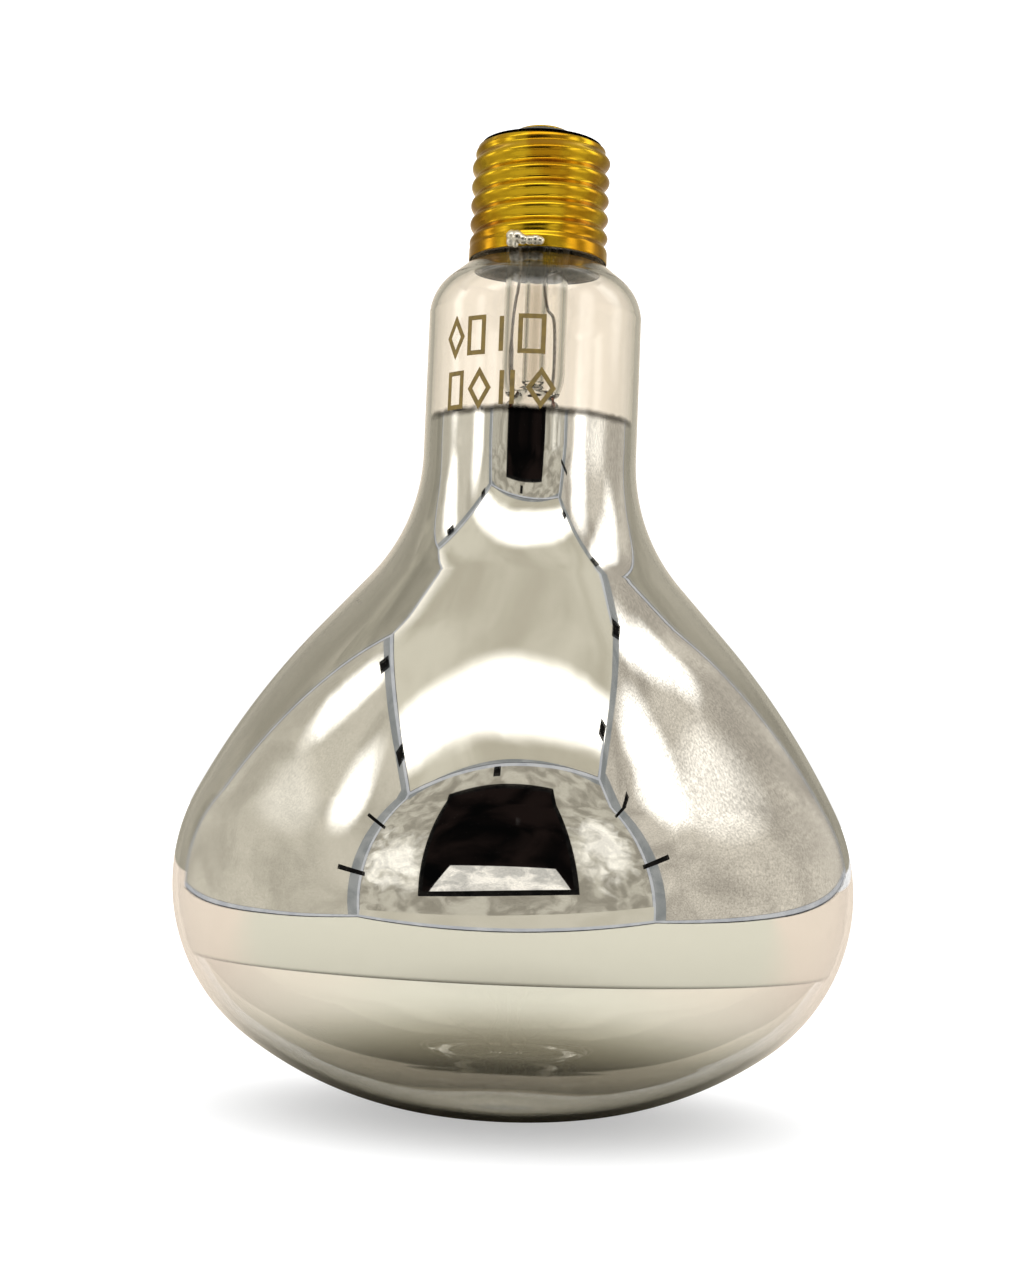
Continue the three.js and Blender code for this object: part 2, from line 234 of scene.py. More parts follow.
def crisp(pairs, hold=0.1):
    """Adds points close to each corner, so that smooth shading stays even along the straight runs."""
    held = [pairs[0]]
    for (r0, z0), (r1, z1) in zip(pairs, pairs[1:]):
        length = math.hypot(r1 - r0, z1 - z0)
        if length > 4 * hold:
            for share in (hold / length, 1 - hold / length):
                held.append((r0 + (r1 - r0) * share, z0 + (z1 - z0) * share))
        held.append((r1, z1))
    return held


def turned(name, pairs, sides=ROUND, closed=False, shape=None):
    """Turns (r, z) pairs about the axis. They run anticlockwise seen with r to the right and z up.
    A closed line makes a ring; shape moves each vertex."""
    vertices, rows = [], []
    for r, z in pairs:
        count = 1 if r < 1e-6 else sides
        rows.append([len(vertices) + j % count for j in range(sides)])
        for j in range(count):
            angle = 2 * math.pi * j / sides
            point = Vector((r * math.cos(angle), r * math.sin(angle), z))
            vertices.append(shape(point) if shape else point)
    if closed:
        rows.append(rows[0])
    faces = []
    for below, above in zip(rows, rows[1:]):
        for j in range(sides):
            k = (j + 1) % sides
            corners = [below[j], below[k], above[k], above[j]]
            faces.append(list(dict.fromkeys(corners)))
    return mesh_object(name, vertices, [f for f in faces if len(f) > 2])


def smooth_path(points, steps=8):
    """A Catmull-Rom curve through the points, as many short runs."""
    points = [Vector(p) for p in points]
    ends = [2 * points[0] - points[1], *points, 2 * points[-1] - points[-2]]
    path = []
    for a, b, c, d in zip(ends, ends[1:], ends[2:], ends[3:]):
        square = 2 * a - 5 * b + 4 * c - d
        cube = 3 * b - a - 3 * c + d
        for i in range(steps):
            t = i / steps
            path.append(0.5 * (2 * b + (c - a) * t + square * t**2 + cube * t**3))
    return [*path, points[-1]]


def barrel_faces(rings, sides):
    """The faces of a barrel: rings of vertices joined one to the next, and a flat face at each end."""
    faces = []
    for base in range(0, (rings - 1) * sides, sides):
        for j in range(sides):
            k = (j + 1) % sides
            faces.append([base + j, base + k, base + sides + k, base + sides + j])
    ends = [list(range(sides))[::-1], list(range((rings - 1) * sides, rings * sides))]
    return faces + ends


def tube(name, path, radius, sides=10):
    """A solid round tube. radius is a number, or a function of the share of the way along the path."""
    vertices = []
    tangent = (path[1] - path[0]).normalized()
    across = tangent.orthogonal().normalized()
    last = len(path) - 1
    for i, point in enumerate(path):
        tangent = (path[min(i + 1, last)] - path[max(i - 1, 0)]).normalized()
        across = (across - across.dot(tangent) * tangent).normalized()
        up = tangent.cross(across)
        r = radius(i / last) if callable(radius) else radius
        for j in range(sides):
            angle = 2 * math.pi * j / sides
            vertices.append(point + r * (math.cos(angle) * across + math.sin(angle) * up))
    return mesh_object(name, vertices, barrel_faces(len(path), sides))


def reworked(made, change):
    """Puts a piece's mesh through a change made in bmesh."""
    form = bmesh.new()
    form.from_mesh(made.data)
    change(form)
    form.to_mesh(made.data)
    form.free()


def evaluated(made):
    """Replaces a piece's mesh with its mesh after modifiers."""
    graph = bpy.context.evaluated_depsgraph_get()
    mesh = bpy.data.meshes.new_from_object(made.evaluated_get(graph))
    made.modifiers.clear()
    made.data = mesh
    mesh.polygons.foreach_set("use_smooth", [True] * len(mesh.polygons))
    return made


def lump(name, balls, roughen, seed, voxel=0.12):
    """A solid run together from balls (centre, radii), with an uneven skin, as set solder has."""
    form = bmesh.new()
    for centre, radii in balls:
        place_ball = Matrix.Translation(Vector(centre) * MM) @ Matrix.Diagonal((*(Vector(radii) * MM), 1))
        bmesh.ops.create_icosphere(form, subdivisions=4, radius=1, matrix=place_ball)
    mesh = bpy.data.meshes.new(name)
    form.to_mesh(mesh)
    form.free()
    made = linked(name, mesh)
    remesh = made.modifiers.new("run_together", "REMESH")
    remesh.mode = "VOXEL"
    remesh.voxel_size = voxel * MM
    soften = made.modifiers.new("soften", "SMOOTH")
    soften.iterations = 6
    evaluated(made)
    for vertex in made.data.vertices:
        at = vertex.co / MM
        push = noise.noise(at * 0.9 + Vector((seed, 0, 0))) + 0.5 * noise.noise(at * 2.3)
        vertex.co += vertex.normal * push * roughen * MM
    return made


# --- Materials ---


class Material:
    """A node material. node() adds a node, with its inputs as a dict of values or of other sockets, where
    a colour is red, green and blue."""

    def __init__(self, name):
        self.data = bpy.data.materials.new(name)
        self.data.use_nodes = True
        self.tree = self.data.node_tree
        self.tree.nodes.clear()
        self.coordinates = self.tree.nodes.new("ShaderNodeTexCoord").outputs["Object"]

    def node(self, kind, inputs, **settings):
        made = self.tree.nodes.new("ShaderNode" + kind)
        for key, value in settings.items():
            setattr(made, key, value)
        for key, value in inputs.items():
            if isinstance(value, bpy.types.NodeSocket):
                self.tree.links.new(value, made.inputs[key])
            elif made.inputs[key].type == "RGBA":
                made.inputs[key].default_value = (*value, 1)
            else:
                made.inputs[key].default_value = value
        return made

    def noise(self, scale, detail=3.0, distortion=0.0, stretch=(1, 1, 1)):
        """A noise between 0 and 1 in the object's own space. scale is in features per metre."""
        spread = self.node("Mapping", {"Vector": self.coordinates, "Scale": stretch})
        inputs = {"Vector": spread.outputs[0], "Scale": scale, "Detail": detail, "Distortion": distortion}
        return self.node("TexNoise", inputs).outputs["Fac"]

    def ranged(self, value, low_in, high_in, low_out, high_out, smooth=False):
        inputs = {0: value, 1: low_in, 2: high_in, 3: low_out, 4: high_out}
        kind = "SMOOTHSTEP" if smooth else "LINEAR"
        return self.node("MapRange", inputs, interpolation_type=kind).outputs[0]

    def maths(self, operation, a, b=0.0):
        return self.node("Math", {0: a, 1: b}, operation=operation).outputs[0]

    def mixed(self, factor, a, b):
        made = self.node("Mix", {0: factor, 6: a, 7: b}, data_type="RGBA")
        return made.outputs[2]

    def bump(self, height, distance, strength=1.0):
        inputs = {"Height": height, "Distance": distance * MM, "Strength": strength}
        return self.node("Bump", inputs).outputs[0]

    def distance(self, location, scale, rotation=(0, 0, 0), **settings):
        """How far a point is from the origin, in a space that is moved, scaled and turned."""
        inputs = {"Vector": self.coordinates, "Location": location, "Scale": scale, "Rotation": rotation}
        moved = self.node("Mapping", inputs, **settings)
        return self.node("VectorMath", {0: moved.outputs[0]}, operation="LENGTH").outputs["Value"]

    def axis(self, name):
        split = self.node("SeparateXYZ", {0: self.coordinates})
        return split.outputs[name]

    def finish(self, shader):
        output = self.tree.nodes.new("ShaderNodeOutputMaterial")
        self.tree.links.new(shader.outputs[0], output.inputs["Surface"])
        return self.data


def glass_material(name, tint, waves, dust=0.0, pole_shade_tint=None):
    """Clear glass with slow waves. dust over 0 adds fine specks that catch the light, and the colour after
    dust,
    if given, is painted shade: the glass tints towards it near the pole of the dome, darker and more
    olive."""
    made = Material(name)
    height = made.noise(45, 2)
    wavy = made.bump(height, waves)
    inputs = {
        "Base Color": tint,
        "Roughness": 0.0,
        "IOR": 1.5,
        "Transmission Weight": 1.0,
        "Normal": wavy,
    }
    if pole_shade_tint:
        # Painted shade: the glass tints darker and more olive towards the pole of the dome.
        clear_of_pole_shade = made.ranged(made.axis("Z"), 3 * MM, 17 * MM, 0, 1, smooth=True)
        inputs["Base Color"] = made.mixed(clear_of_pole_shade, pole_shade_tint, tint)
    if dust:
        specks = made.node("TexVoronoi", {"Vector": made.coordinates, "Scale": 160}, feature="F1")
        patch = made.ranged(made.noise(30, 2), 0.6, 0.75, 0, dust)
        speck = made.ranged(specks.outputs["Distance"], 0.05, 0.09, 1, 0)
        inputs["Roughness"] = made.maths("MULTIPLY", speck, patch)
    return made.finish(made.node("BsdfPrincipled", inputs))


def mirror_material():
    """Aluminium film on the inside of the bulb. It thins to a grey veil at its upper edge."""
    made = Material("mirror_film")
    height = made.axis("Z")
    ragged = made.ranged(made.noise(350, 3), 0.3, 0.7, -0.2 * MM, 0.2 * MM)
    edge = made.maths("ADD", height, ragged)
    thin = made.ranged(edge, (COATING_HIGH - 2.4) * MM, (COATING_HIGH - 1.2) * MM, 0, 1, smooth=True)
    film = made.mixed(made.noise(25, 2), (0.86, 0.86, 0.85), (0.90, 0.90, 0.89))
    veil = made.mixed(made.noise(900, 2), (0.055, 0.05, 0.04), (0.12, 0.105, 0.085))
    end = made.ranged(edge, (COATING_HIGH - 1.5) * MM, (COATING_HIGH - 0.1) * MM, 1, 0, smooth=True)
    inputs = {
        "Base Color": made.mixed(thin, film, veil),
        "Metallic": 1.0,
        "Roughness": made.ranged(made.noise(90, 4), 0.3, 0.7, 0.002, 0.016),
        "Normal": made.bump(made.noise(60, 2), 0.01),
        "Alpha": end,
    }
    return made.finish(made.node("BsdfPrincipled", inputs))


def brass_material():
    """Bright lacquered brass, darker and browner in patches, with faint draw lines round it."""
    made = Material("cap_brass")
    patches = made.ranged(made.noise(120, 3, stretch=(1, 1, 0.6)), 0.4, 0.64, 0, 1, smooth=True)
    lines = made.noise(220, 2, stretch=(1, 1, 8))
    inputs = {
        "Base Color": made.mixed(patches, (0.64, 0.41, 0.018), (0.44, 0.22, 0.008)),
        "Metallic": 1.0,
        "Roughness": made.ranged(lines, 0.3, 0.7, 0.15, 0.27),
        "Normal": made.bump(lines, 0.004),
    }
    return made.finish(made.node("BsdfPrincipled", inputs))


def uneven_material(name, light, dark, roughness, scale, bump, detail=6, metallic=0.0):
    """A bare metal, cement, pigment or pressed glass, whose colour, gloss and skin wander a little."""
    made = Material(name)
    pattern = made.noise(scale, detail)
    inputs = {
        "Base Color": made.mixed(made.ranged(pattern, 0.35, 0.65, 0, 1), dark, light),
        "Metallic": metallic,
        "Roughness": made.ranged(pattern, 0.3, 0.7, *roughness),
        "Normal": made.bump(pattern, bump),
    }
    return made.finish(made.node("BsdfPrincipled", inputs))


LOOKS = {
    # The clear glass's last colour is painted shade at the pole of the dome.
    "clear_glass": glass_material("clear_glass", (0.985, 0.98, 0.97), 0.012, 0.5, (0.87, 0.85, 0.76)),
    "stem_glass": glass_material("stem_glass", (0.985, 0.97, 0.945), 0.03),
    "fuse_glass": glass_material("fuse_glass", (0.93, 0.96, 0.93), 0.02),
    "mirror_coating": mirror_material(),
    "cap_brass": brass_material(),
}
METALS = {  # the light and the dark colour, the range of roughness, the scale of the noise
    "solder": ((0.86, 0.83, 0.76), (0.66, 0.62, 0.54), (0.2, 0.36), 600),
    "lead_wire": ((0.34, 0.30, 0.25), (0.16, 0.13, 0.11), (0.25, 0.45), 1500),
    "copper_wire": ((0.45, 0.16, 0.08), (0.25, 0.07, 0.04), (0.3, 0.5), 1500),
    "nickel_wire": ((0.56, 0.53, 0.48), (0.4, 0.37, 0.33), (0.2, 0.4), 1200),
    "tungsten": ((0.24, 0.24, 0.25), (0.12, 0.12, 0.13), (0.35, 0.55), 3000),
    "molybdenum": ((0.4, 0.39, 0.37), (0.26, 0.25, 0.24), (0.3, 0.5), 2000),
    "deflector_aluminium": ((0.80, 0.79, 0.77), (0.68, 0.67, 0.65), (0.2, 0.38), 400),
}
for slot, values in METALS.items():
    LOOKS[slot] = uneven_material(slot, *values, bump=0.02, detail=5, metallic=1.0)
DULL = {  # the same, and the depth of the bumps
    "black_insulator": ((0.012, 0.011, 0.010), (0.006, 0.006, 0.007), (0.12, 0.3), 500, 0.05),
    "cement": ((0.22, 0.17, 0.095), (0.12, 0.09, 0.05), (0.7, 0.95), 1200, 0.1),
    # The next look is painted shade: a nearly black brown for the inside of the cap shell.
    "painted_shade_inside": ((0.05, 0.037, 0.02), (0.025, 0.018, 0.01), (0.5, 0.8), 300, 0.03),
    "print_pigment": ((0.16, 0.105, 0.016), (0.11, 0.072, 0.010), (0.55, 0.75), 900, 0.01),
}
for slot, values in DULL.items():
    LOOKS[slot] = uneven_material(slot, *values)


def place(made, slot, *nodes, look=None):
    """Puts a piece on the lamp's one body, in place of the CAD nodes that it stands for. Its material is
    the slot's own, or another look."""
    made.data.materials.append(LOOKS[look or slot])
    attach(made, "root")
    if nodes:
        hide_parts(*nodes)
    return made


# --- Bulb and mirror ---


def blown(point):
    """A blown bulb isn't perfectly round: the wall wanders by a few hundredths of a millimetre."""
    wander = 0.05 * noise.noise(point * 0.03) + 0.03 * noise.noise(point * 0.09)
    flat = Vector((point.x, point.y, 0))
    if point.z > SHOULDER_START or flat.length < POLE_FLAT:
        return point
    return point - flat.normalized() * (0.03 + wander * 0.5)


bulb_line = [*BULB.inset(0), *BULB.inset(GLASS)[::-1]]
place(turned("bulb_glass", bulb_line, shape=blown), "clear_glass", "glass_envelope")

film_face = between(BULB.inset(GLASS + FILM_GAP), COATING_LOW, COATING_HIGH)
film_back = between(BULB.inset(GLASS + FILM_GAP + FILM), COATING_LOW, COATING_HIGH)
film = turned("mirror_film", [*film_face, *film_back[::-1]], closed=True, shape=blown)
place(film, "mirror_coating", "reflector_coating")


# --- Print marks ---

STROKE = 0.85
PRINT_LIFT = 0.03
PRINT_FILM = 0.05


def sheet_on(name, outlines, to_surface):
    """A thin film of pigment: each outline is a pair of lines of (u, v) points, the two edges of a
    stroke, and to_surface gives the place of (u, v) at a lift above the glass."""
    vertices, faces = [], []
    for left, right in outlines:
        base = len(vertices)
        for a, b in zip(left, right):
            for lift in (PRINT_LIFT, PRINT_LIFT + PRINT_FILM):
                vertices += [to_surface(*a, lift), to_surface(*b, lift)]
        count = len(left)
        for i in range(count - 1):
            at, on = base + 4 * i, base + 4 * (i + 1)
            for p, q in ((1, 0), (2, 3), (0, 2), (3, 1)):
                faces.append([at + p, at + q, on + q, on + p])
        faces.append([base, base + 1, base + 3, base + 2])
        end = base + 4 * (count - 1)
        faces.append([end + 2, end + 3, end + 1, end])
    made = mesh_object(name, vertices, faces)
    reworked(made, lambda form: bmesh.ops.recalc_face_normals(form, faces=form.faces))
    made.data.polygons.foreach_set("use_smooth", [False] * len(made.data.polygons))
    return made


def stroke(start, end, width=STROKE, steps=10):
    """The two edges of a straight stroke."""
    start, end = Vector(start), Vector(end)
    side = (end - start).normalized().orthogonal() * width / 2
    line = [start.lerp(end, i / steps) for i in range(steps + 1)]
    return [p + side for p in line], [p - side for p in line]


def loop(points, width=STROKE, steps=10):
    """The two edges of a closed figure, mitred at its corners."""
    points = [Vector(p) for p in points]
    count = len(points)
    corners = []
    for i, point in enumerate(points):
        before = (point - points[i - 1]).normalized()
        after = (points[(i + 1) % count] - point).normalized()
        normal = (before.orthogonal() + after.orthogonal()).normalized()
        reach = width / 2 / normal.dot(before.orthogonal())
        corners.append((point + normal * reach, point - normal * reach))
    left, right = [], []
    for (l0, r0), (l1, r1) in zip(corners, [*corners[1:], corners[0]]):
        left += [l0.lerp(l1, i / steps) for i in range(steps)]
        right += [r0.lerp(r1, i / steps) for i in range(steps)]
    return [(left + left[:1], right + right[:1])]


def on_neck(u, v, lift):
    """A point u to the right and v up on the front of the neck."""
    radius = surface_radius(v, lift)
    angle = -math.pi / 2 + u / NECK_RADIUS
    return Vector((radius * math.cos(angle), radius * math.sin(angle), v))


def bar(u, v, height):
    return [stroke((u, v - height / 2), (u, v + height / 2))]


def diamond(u, v, width, height):
    return loop([(u - width / 2, v), (u, v - height / 2), (u + width / 2, v), (u, v + height / 2)])


def box_figure(u, v, width, height):
    half, tall = width / 2, height / 2
    return loop([(u - half, v - tall), (u + half, v - tall), (u + half, v + tall), (u - half, v + tall)])


def neck_print():
    """Two rows of plain figures, in place of lettering."""
    upper, lower = 141.0, 131.2
    tall, short = 6.4, 6.2
    marks = diamond(-16.0, upper, 3.4, tall) + box_figure(-11.2, upper, 3.0, tall)
    marks += bar(-6.2, upper, tall) + box_figure(-0.6, upper, 4.2, tall)
    marks += box_figure(-15.6, lower, 3.0, short) + diamond(-10.2, lower, 3.8, short)
    marks += bar(-5.8, lower, short) + bar(-3.8, lower, short) + diamond(1.4, lower, 4.4, short)
    return marks


place(sheet_on("neck_print", neck_print(), on_neck), "clear_glass", look="print_pigment")


def on_face(u, v, lift):
    """A point on the dome at angle u and distance v from the pole."""
    index = next(i for i, p in enumerate(BULB.points) if p[0] >= v)
    (r0, z0), (r1, z1) = BULB.inset(-lift)[index - 1 : index + 1]
    z = max(z0 + (z1 - z0) * (v - r0) / (r1 - r0), 0.0)
    return Vector((v * math.cos(u), v * math.sin(u), z))


def face_arc(radius, start, end, width):
    steps = max(int(abs(end - start) * 24), 2)
    turns = [start + (end - start) * i / steps for i in range(steps + 1)]
    return [(a, radius + width / 2) for a in turns], [(a, radius - width / 2) for a in turns]


def face_print():
    """A ring round the pole with a row of dashes outside it."""
    marks = [face_arc(10.4, 0, 2 * math.pi, 0.35)]
    for radius, count, fill in ((12.2, 30, 0.55), (14.0, 36, 0.6)):
        for i in range(count):
            start = 2 * math.pi * i / count
            marks.append(face_arc(radius, start, start + 2 * math.pi * fill / count, 1.0))
    return marks


place(sheet_on("face_print", face_print(), on_face), "clear_glass", look="print_pigment")


# --- Cap ---


def shell_radius(height, angle):
    """The rolled thread between the plain skirt below and the shoulder above."""
    turns = (height - CAP_RIM - THREAD_PHASE) / THREAD_PITCH - (angle - math.pi) / (2 * math.pi)
    depth = 0.5 + 0.5 * math.cos(2 * math.pi * turns)
    depth = depth**0.85 * (1 - smoothstep(height, THREAD_END - 1.5, THREAD_END + 0.5))
    skirt = 1 - smoothstep(height, THREAD_START - 1.2, THREAD_START + 1.2)
    thread = THREAD_ROOT + (THREAD_CREST - THREAD_ROOT) * depth
    return thread + (THREAD_CREST - thread) * skirt


def rolled(point):
    """Moves a point of a plain shell, as wide as the thread's crest, out and in along the thread."""
    flat = Vector((point.x, point.y, 0))
    if flat.length < THREAD_ROOT - 0.5:
        return point
    wanted = shell_radius(point.z, math.atan2(point.y, point.x)) - (THREAD_CREST - flat.length)
    return flat.normalized() * wanted + Vector((0, 0, point.z))


def cap_shell():
    rows = 150
    heights = [CAP_RIM + (THREAD_END + 0.4 - CAP_RIM) * i / rows for i in range(rows + 1)]
    outside = [(THREAD_CREST, z) for z in heights]
    outside[0] = (THREAD_CREST - 0.1, CAP_RIM)
    inside = [(THREAD_CREST - SHELL_WALL, z) for z in reversed(heights)]
    shoulder = Outline(THREAD_ROOT, THREAD_END + 0.5, 90)
    shoulder.arc(1.1, 180, 8)
    top = [(r, min(z, SHELL_TOP)) for r, z in shoulder.inset(0)[1:]]
    roof = SHELL_TOP - SHELL_WALL
    lip = [(SHELL_MOUTH, SHELL_TOP), (SHELL_MOUTH, roof)]
    under = [(THREAD_ROOT - 1.2, roof), (THREAD_ROOT - 0.45, roof - 0.3)]
    made = turned("cap_brass_shell", [*outside, *top, *lip, *under, *inside], closed=True, shape=rolled)
    first_inside = (len(outside) + len(top) + 1) * ROUND
    place(made, "cap_brass", "cap_shell")
    # Painted shade: the inside of the shell gets a nearly black brown look.
    made.data.materials.append(LOOKS["painted_shade_inside"])
    for polygon in made.data.polygons[first_inside:]:
        polygon.material_index = 1


cap_shell()

seat = low("cap_insulator").z
insulator_line = [(1.2, seat), (THREAD_ROOT - 1.6, seat), (THREAD_ROOT - 1.4, seat + 0.3)]
insulator_line += [(THREAD_ROOT - 1.4, seat + 1.9), (SHELL_MOUTH - 0.1, seat + 2.05)]
insulator_line += [(SHELL_MOUTH - 0.1, SHELL_TOP), (SHELL_MOUTH - 0.6, SHELL_TOP + 0.5)]
for outwards, down in ((2.2, 1.5), (1.3, 0.95), (0.9, 0.9)):
    insulator_line.append((CONTACT_RADIUS + outwards, CONTACT_TOP - down))
insulator_line.append((1.2, CONTACT_TOP - 0.9))
place(turned("cap_black_insulator", insulator_line, closed=True), "black_insulator", "cap_insulator")

contact_low = low("centre_contact").z
contact_line = [(0.8, contact_low), (CONTACT_RADIUS - 0.1, contact_low)]
contact_line += [(CONTACT_RADIUS, contact_low + 0.15), (CONTACT_RADIUS - 0.05, contact_low + 0.35)]
contact_line.append((CONTACT_RADIUS - 0.5, CONTACT_TOP - 0.05))
contact_line += [(CONTACT_RADIUS - 1.2, CONTACT_TOP), (0.8, CONTACT_TOP)]
place(turned("contact_disc", contact_line, closed=True), "cap_brass", "centre_contact")

CONTACT_BALLS = [
    ((0, 0, CONTACT_TOP + 0.1), (2.2, 2.1, 0.62)),
    ((0.5, -0.3, CONTACT_TOP + 0.15), (1.2, 1.3, 0.6)),
]
place(lump("contact_solder_lump", CONTACT_BALLS, 0.05, seed=3), "solder", "contact_solder")


def beside_skirt(along, outwards, height):
    """A point on the skirt near the side solder, in millimetres round, out and up."""
    angle = SIDE_ANGLE + along / THREAD_CREST
    radius = THREAD_CREST + outwards
    return (radius * math.cos(angle), radius * math.sin(angle), CAP_RIM + height)


SIDE_BALLS = (  # how far round the skirt and up, and the radius
    (-2.2, 1.75, 1.2), (-1.3, 1.6, 1.25), (-0.2, 1.1, 1.0), (1.0, 1.0, 0.9), (2.1, 1.05, 1.0),
    (3.0, 0.9, 0.8), (-2.5, 0.7, 0.85), (-1.6, 0.2, 0.6),
)
side_balls = [(beside_skirt(along, 0.2, up), (radius,) * 3) for along, up, radius in SIDE_BALLS]
place(lump("side_solder_lump", side_balls, 0.035, seed=11), "solder", "side_solder")

cement_top = high("basing_cement").z


def cement_ring():
    """Cement run in between the narrowing bulb and the skirt, with a crumbled lower edge."""
    glass_side = between(BULB.inset(-0.04), CAP_RIM + 0.12, cement_top)
    outer = THREAD_CREST - SHELL_WALL - 0.05
    narrow = THREAD_ROOT - SHELL_WALL - 0.1
    shell_side = [(outer, CAP_RIM + 0.25), (outer, CAP_RIM + 1.6), (narrow, CAP_RIM + 2.6)]
    shell_side.append((narrow, cement_top))

    def crumbled(point):
        if point.z > CAP_RIM + 1:
            return point
        return point + Vector((0, 0, 0.14 * noise.noise(point * 1.3) + 0.07 * noise.noise(point * 4)))

    return turned("cement_fill", [*shell_side, *glass_side[::-1]], closed=True, shape=crumbled)


place(cement_ring(), "cement", "basing_cement")


# --- Stem ---


def stem_flare():
    """A glass tube flared to the neck's end above and drawn in towards the pinch below."""
    flare_top = high("stem_flare").z
    line = Outline(STEM_RADIUS - 1.35, STEM_BOTTOM, 62)
    line.arc(7.5, 84, 8).run(1.1, 2).arc(6, 90, 3)
    line.run(FLARE_START - line.z, 10).arc(14, 62, 8)
    outer = line.inset(0)
    lip = [(NECK_END_RADIUS - 0.35, flare_top - 0.9), (NECK_END_RADIUS - 0.1, flare_top - 0.6)]
    lip += [(NECK_END_RADIUS - 0.1, flare_top - 0.1), (NECK_END_RADIUS - 0.5, flare_top)]
    inner = [(r, z) for r, z in line.inset(0.9)[::-1] if r < STEM_RADIUS + 2]
    return turned("stem_tube", [*outer, *lip, *inner], 96, closed=True)


place(stem_flare(), "stem_glass", "stem_flare")

EXHAUST_RADIUS = 2.1
EXHAUST_WALL = 0.6


def exhaust_tube():
    """A thin tube, sealed to a point above and cut off open below."""
    top, bottom = high("exhaust_tube").z, low("exhaust_tube").z + 2.2
    bore = EXHAUST_RADIUS - EXHAUST_WALL
    inside = [(0, top - 1), (0.7 * bore, top - 2), (bore, top - 4), (bore, bottom + 0.2)]
    outside = [(EXHAUST_RADIUS - 0.2, bottom), (EXHAUST_RADIUS, bottom + 0.3), (EXHAUST_RADIUS, top - 4)]
    outside += [(1.6, top - 1.6), (0.7, top - 0.3), (0, top)]
    return turned("exhaust_tube_glass", crisp([*inside, *outside]), 64)


place(exhaust_tube(), "stem_glass", "exhaust_tube")


def stem_pinch():
    """The flat, squeezed end of the stem: pressed faces, and a crumpled crown inside the tube's end."""
    width, thickness = high("stem_pinch").x, high("stem_pinch").y
    crown = 2.6
    rows, sides = 48, 72
    vertices = []
    for i in range(rows + 1):
        z = PINCH_BOTTOM + (PINCH_TOP + crown - PINCH_BOTTOM) * (i / rows)
        above = max(0, (z - PINCH_TOP + 1.2) / (crown + 1.2))
        below = max(0, (PINCH_BOTTOM + 1 - z))
        size = math.sqrt(max(0.03, 1 - above**2)) * math.sqrt(max(0.3, 1 - below**2))
        drawn_in = 1 - 0.26 * smoothstep(z, PINCH_TOP - 1.5, PINCH_TOP)
        for j in range(sides):
            angle = 2 * math.pi * j / sides
            c, s = math.cos(angle), math.sin(angle)
            x = width * math.copysign(abs(c) ** 0.8, c) * size * drawn_in
            y = thickness * math.copysign(abs(s) ** 0.7, s) * size * (0.8 + 0.15 * math.cos(3 * x / width))
            crumple = 0.93 + 0.1 * noise.noise(Vector((x, y, z)) * 0.9) * (0.4 + above)
            ragged = 0.5 * above * noise.noise(Vector((x, y, 3)) * 1.1)
            vertices.append((x * crumple, y * crumple, z + ragged))
    return mesh_object("pinch_glass", vertices, barrel_faces(rows + 1, sides))


place(stem_pinch(), "stem_glass", "stem_pinch")

arbor_top = high("arbor_rod").z
rod_line = [(0, ARBOR_BOTTOM), (1.4, ARBOR_BOTTOM + 0.1), (1.6, ARBOR_BOTTOM + 0.6)]
rod_line += [(1.5, (ARBOR_BOTTOM + arbor_top) / 2), (1.6, arbor_top - 0.5)]
rod_line += [(1.3, arbor_top), (0, arbor_top)]
place(turned("arbor_glass_rod", rod_line, 48), "stem_glass", "arbor_rod")

button_low = low("arbor_button").z
button = Outline(0, button_low)
button.run(BUTTON_RADIUS - 1.6).arc(1.6, 90, 8).run(BUTTON_TOP - button_low - 3.2).arc(1.6, 180, 8)
button_line = [*button.inset(0), (0, BUTTON_TOP)]
place(turned("arbor_glass_button", button_line, 48), "stem_glass", "arbor_button")


# --- Leads ---

LEAD_RADIUS = 0.3
LEAD_START = PINCH_TOP + 0.5


def wire(name, points, radius, slot, node, sides=10):
    return place(tube(name, smooth_path(points), radius, sides), slot, node)


wire(
    "centre_lead_below_fuse",
    [
        (LEAD_SPREAD - 0.2, 0, LEAD_START), (LEAD_SPREAD, -1.2, 139.5),
        (LEAD_SPREAD - 0.4, -2.2, 147.3), (2.2, -2.7, 149.4), (1.6, -2.9, 152.5),
        (1.5, -2.9, FUSE_LOW - 2.5), (FUSE_X, 0, FUSE_LOW - 0.3),
    ],
    LEAD_RADIUS, "lead_wire", "centre_lead_lower",
)
sleeve = [(0.7, FUSE_LOW), (1.0, FUSE_LOW), (1.1, FUSE_LOW + 0.2)]
sleeve += [(1.1, FUSE_HIGH - 0.2), (1.0, FUSE_HIGH), (0.7, FUSE_HIGH)]
fuse = turned("fuse_glass_sleeve", sleeve, 32, closed=True, shape=lambda p: p + Vector((FUSE_X, 0, 0)))
place(fuse, "fuse_glass", "fuse_sleeve")
wire(
    "centre_lead_above_fuse",
    [
        (FUSE_X, 0, FUSE_LOW + 0.4), (FUSE_X, 0, FUSE_HIGH), (3.4, 0, 171), (1.6, 0, 177.6),
        (0, 0, 180.5), (0, 0, CONTACT_TOP - 0.1),
    ],
    LEAD_RADIUS, "lead_wire", "centre_lead_upper",
)


def along_side(radius, height):
    return (radius * math.cos(SIDE_ANGLE), radius * math.sin(SIDE_ANGLE), height)


def side_lead_radius(share):
    """Thick where the lead leaves the pinch, and thin where it passes between the neck and the cap."""
    return 0.15 + 0.2 * (1 - smoothstep(share, 0.14, 0.17)) + 0.13 * (1 - smoothstep(share, 0.42, 0.55))


